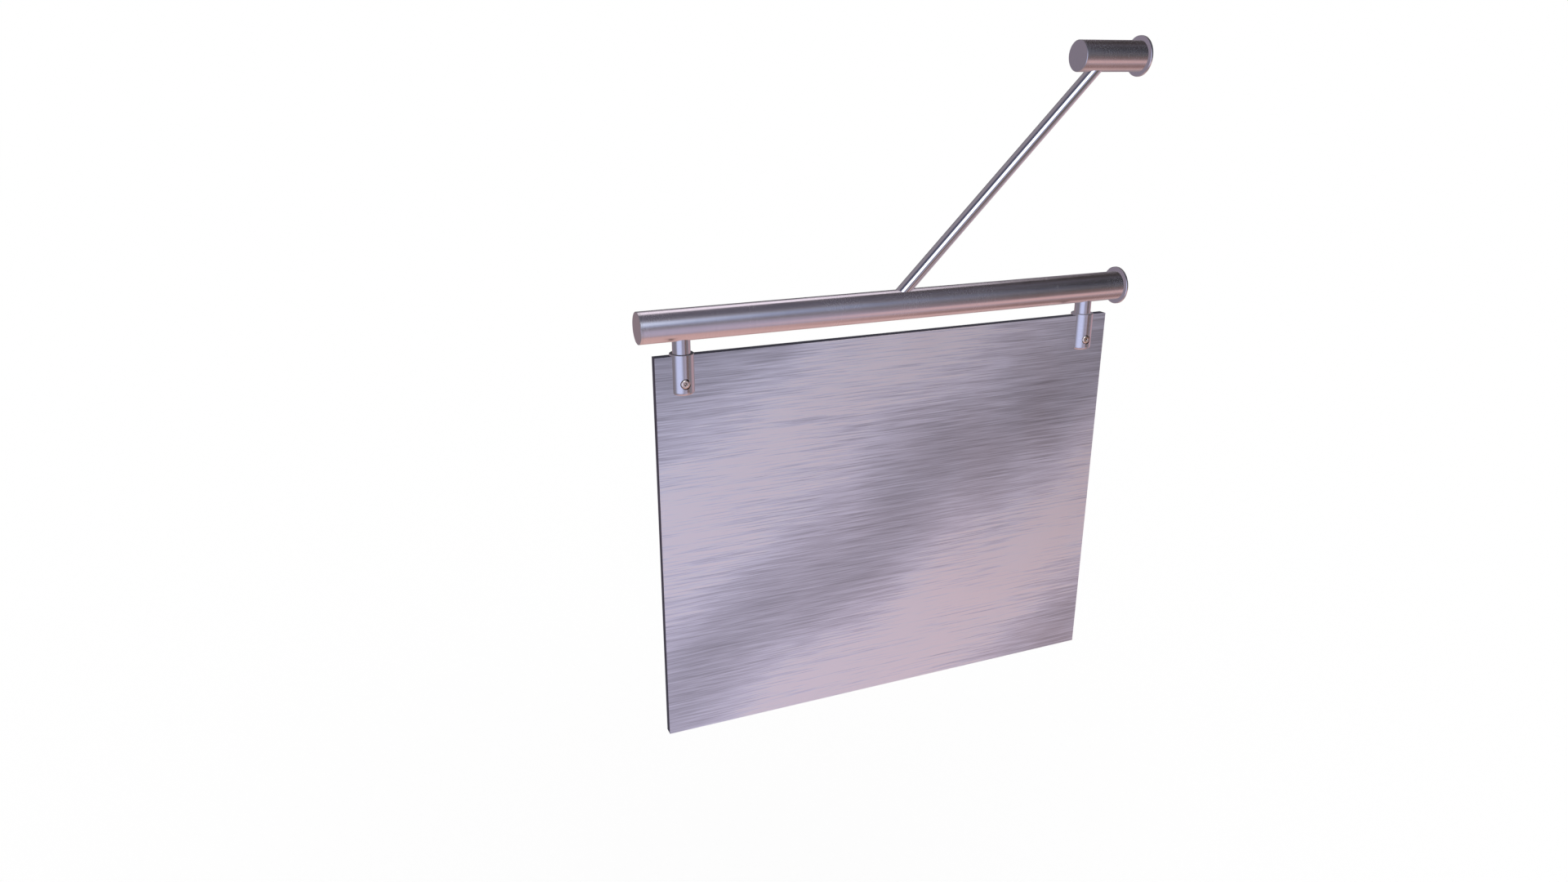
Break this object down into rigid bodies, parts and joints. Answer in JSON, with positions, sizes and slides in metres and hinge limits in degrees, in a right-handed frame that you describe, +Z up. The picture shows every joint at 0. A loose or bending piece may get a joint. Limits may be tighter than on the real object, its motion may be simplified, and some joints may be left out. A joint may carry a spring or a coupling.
{
  "type": "wall-mounted projecting sign",
  "caption": "Flat brushed sign panel clamped in slotted hangers under a round wall-mounted boom, braced by a diagonal stay to an upper wall stub.",
  "frame": {"origin": "centre of the boom flange's back face, where the boom's axis meets the wall", "axes": "+X into the wall along the boom's axis (the boom runs along -X), +Z up, -Y towards the clamp screws' heads"},
  "size_m": [0.528, 0.0392, 0.6774],
  "materials": {
    "brushed_tube": "fine brushed round the tube",
    "turned_cap": "turned and fine brushed",
    "flange_metal": "turned and fine brushed",
    "polished_rod": "polished",
    "hanger_metal": "fine brushed, nearly polished",
    "clamp_screw_metal": "bright stainless steel",
    "stud_metal": "plain",
    "insert_metal": "as machined",
    "set_screw_metal": "plain",
    "panel_skin": "brushed along the panel's width",
    "panel_core": "dark, satin cut edge"
  },
  "bodies": {
    "frame": {"boom_tube": "brushed_tube", "boom_end_cap": "turned_cap", "boom_wall_flange": "flange_metal", "boom_flange_set_screw": "set_screw_metal", "boom_stay_insert": "insert_metal", "boom_stay_set_screw": "set_screw_metal", "stub_tube": "brushed_tube", "stub_end_cap": "turned_cap", "stub_wall_flange": "flange_metal", "stub_flange_set_screw": "set_screw_metal", "stub_stay_insert": "insert_metal", "stub_stay_set_screw": "set_screw_metal", "stay_rod": "polished_rod", "outer_hanger": "hanger_metal", "outer_hanger_stud": "stud_metal", "outer_hanger_insert": "insert_metal", "inner_hanger": "hanger_metal", "inner_hanger_stud": "stud_metal", "inner_hanger_insert": "insert_metal", "panel_front_skin": "panel_skin", "panel_core": "panel_core", "panel_back_skin": "panel_skin"},
    "outer_screw": {"outer_clamp_screw": "clamp_screw_metal"},
    "inner_screw": {"inner_clamp_screw": "clamp_screw_metal"}
  },
  "joints": [
    {"name": "outer_screw_out", "type": "slide", "parent": "frame", "child": "outer_screw", "axis": [0, -1, 0], "range_m": [0, 0.024]},
    {"name": "inner_screw_out", "type": "slide", "parent": "frame", "child": "inner_screw", "axis": [0, -1, 0], "range_m": [0, 0.024]}
  ]
}
